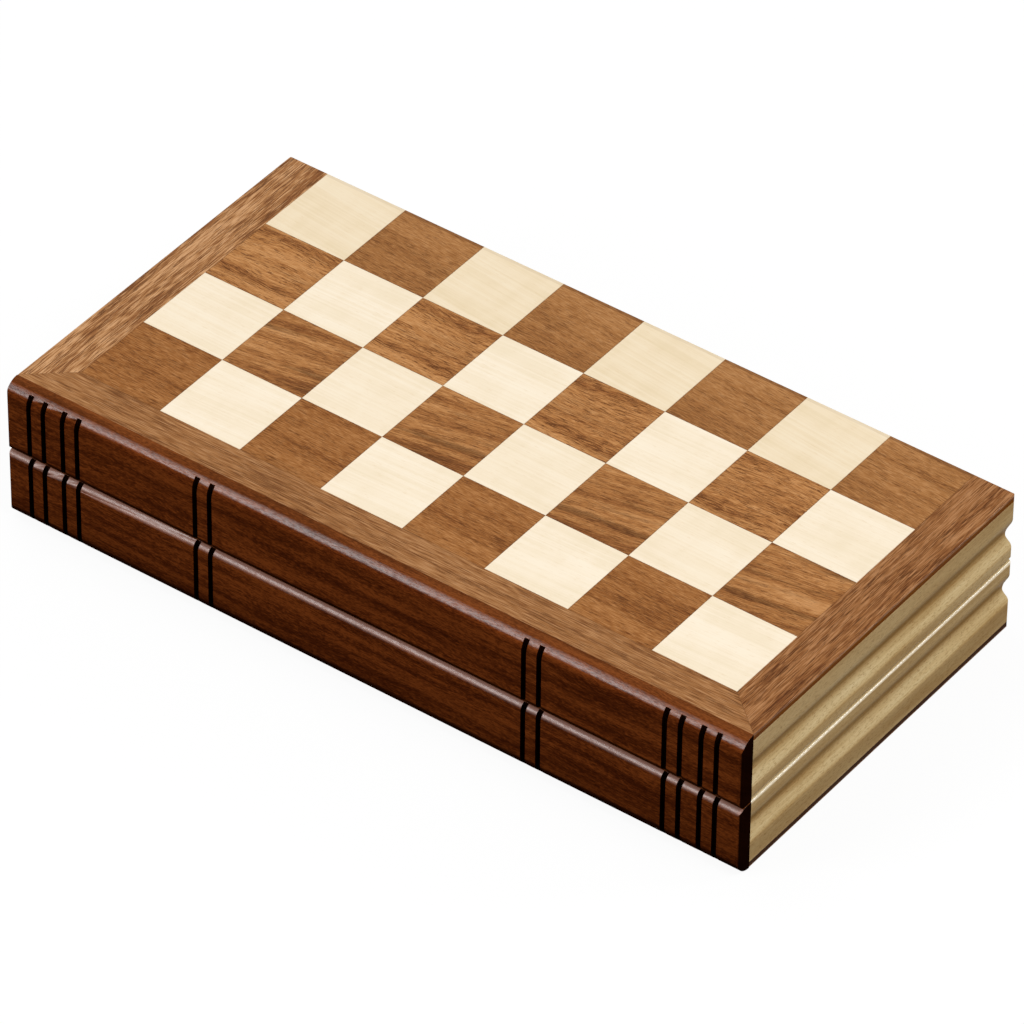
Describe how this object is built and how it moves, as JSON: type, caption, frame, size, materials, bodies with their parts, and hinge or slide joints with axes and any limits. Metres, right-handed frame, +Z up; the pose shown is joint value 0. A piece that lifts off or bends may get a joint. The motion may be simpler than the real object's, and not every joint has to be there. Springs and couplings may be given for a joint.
{
  "type": "travel chess set",
  "caption": "Folding wooden chess box shaped like a thick book: chequered board halves outside, velvet tray with chessmen inside.",
  "frame": {"origin": "middle of the base of the shut box, halfway between the spine's face and the hinge side's face", "axes": "+X along the spine towards the right-hand page rails, +Y from the spine to the hinge side, +Z up through the lid"},
  "size_m": [0.305, 0.1602, 0.058],
  "materials": {
    "walnut_veneer": "satin lacquer",
    "walnut_border": "satin lacquer",
    "maple_veneer": "satin lacquer",
    "panel_core": "stained edge",
    "stained_walnut": "gloss lacquer",
    "page_wood": "satin lacquer",
    "velvet": "short pile",
    "felt": "baize",
    "brass": "polished",
    "magnet_metal": "plated",
    "boxwood": "satin lacquer",
    "dark_men_wood": "satin lacquer"
  },
  "bodies": {
    "lower_half": {"lower_panel": "panel_core", "lower_light_squares": "maple_veneer", "lower_dark_squares": "walnut_veneer", "lower_border": "walnut_border", "lower_spine": "stained_walnut", "lower_left_page_rail": "page_wood", "lower_right_page_rail": "page_wood", "lower_hinge_rail": "page_wood", "lower_tray": "velvet", "lower_hinge_leaves": "brass", "lower_hinge_screws": "brass", "lower_magnets": "magnet_metal", "hinge_pins": "brass", "light_felt_pads": "felt", "light_rook_1": "boxwood", "light_knight_1": "boxwood", "light_bishop_1": "boxwood", "light_queen": "boxwood", "light_king": "boxwood", "light_bishop_2": "boxwood", "light_knight_2": "boxwood", "light_rook_2": "boxwood", "light_pawn_1": "boxwood", "light_pawn_2": "boxwood", "light_pawn_3": "boxwood", "light_pawn_4": "boxwood", "light_pawn_5": "boxwood", "light_pawn_6": "boxwood", "light_pawn_7": "boxwood", "light_pawn_8": "boxwood"},
    "upper_half": {"upper_panel": "panel_core", "upper_light_squares": "maple_veneer", "upper_dark_squares": "walnut_veneer", "upper_border": "walnut_border", "upper_spine": "stained_walnut", "upper_left_page_rail": "page_wood", "upper_right_page_rail": "page_wood", "upper_hinge_rail": "page_wood", "upper_tray": "velvet", "upper_hinge_leaves": "brass", "upper_hinge_screws": "brass", "upper_magnets": "magnet_metal", "dark_felt_pads": "felt", "dark_rook_1": "dark_men_wood", "dark_knight_1": "dark_men_wood", "dark_bishop_1": "dark_men_wood", "dark_queen": "dark_men_wood", "dark_king": "dark_men_wood", "dark_bishop_2": "dark_men_wood", "dark_knight_2": "dark_men_wood", "dark_rook_2": "dark_men_wood", "dark_pawn_1": "dark_men_wood", "dark_pawn_2": "dark_men_wood", "dark_pawn_3": "dark_men_wood", "dark_pawn_4": "dark_men_wood", "dark_pawn_5": "dark_men_wood", "dark_pawn_6": "dark_men_wood", "dark_pawn_7": "dark_men_wood", "dark_pawn_8": "dark_men_wood"}
  },
  "joints": [
    {"name": "lid_hinge", "type": "hinge", "parent": "lower_half", "child": "upper_half", "pos_m": [0, 0.07915, 0.029], "axis": [-1, 0, 0], "range_deg": [0, 180]}
  ]
}
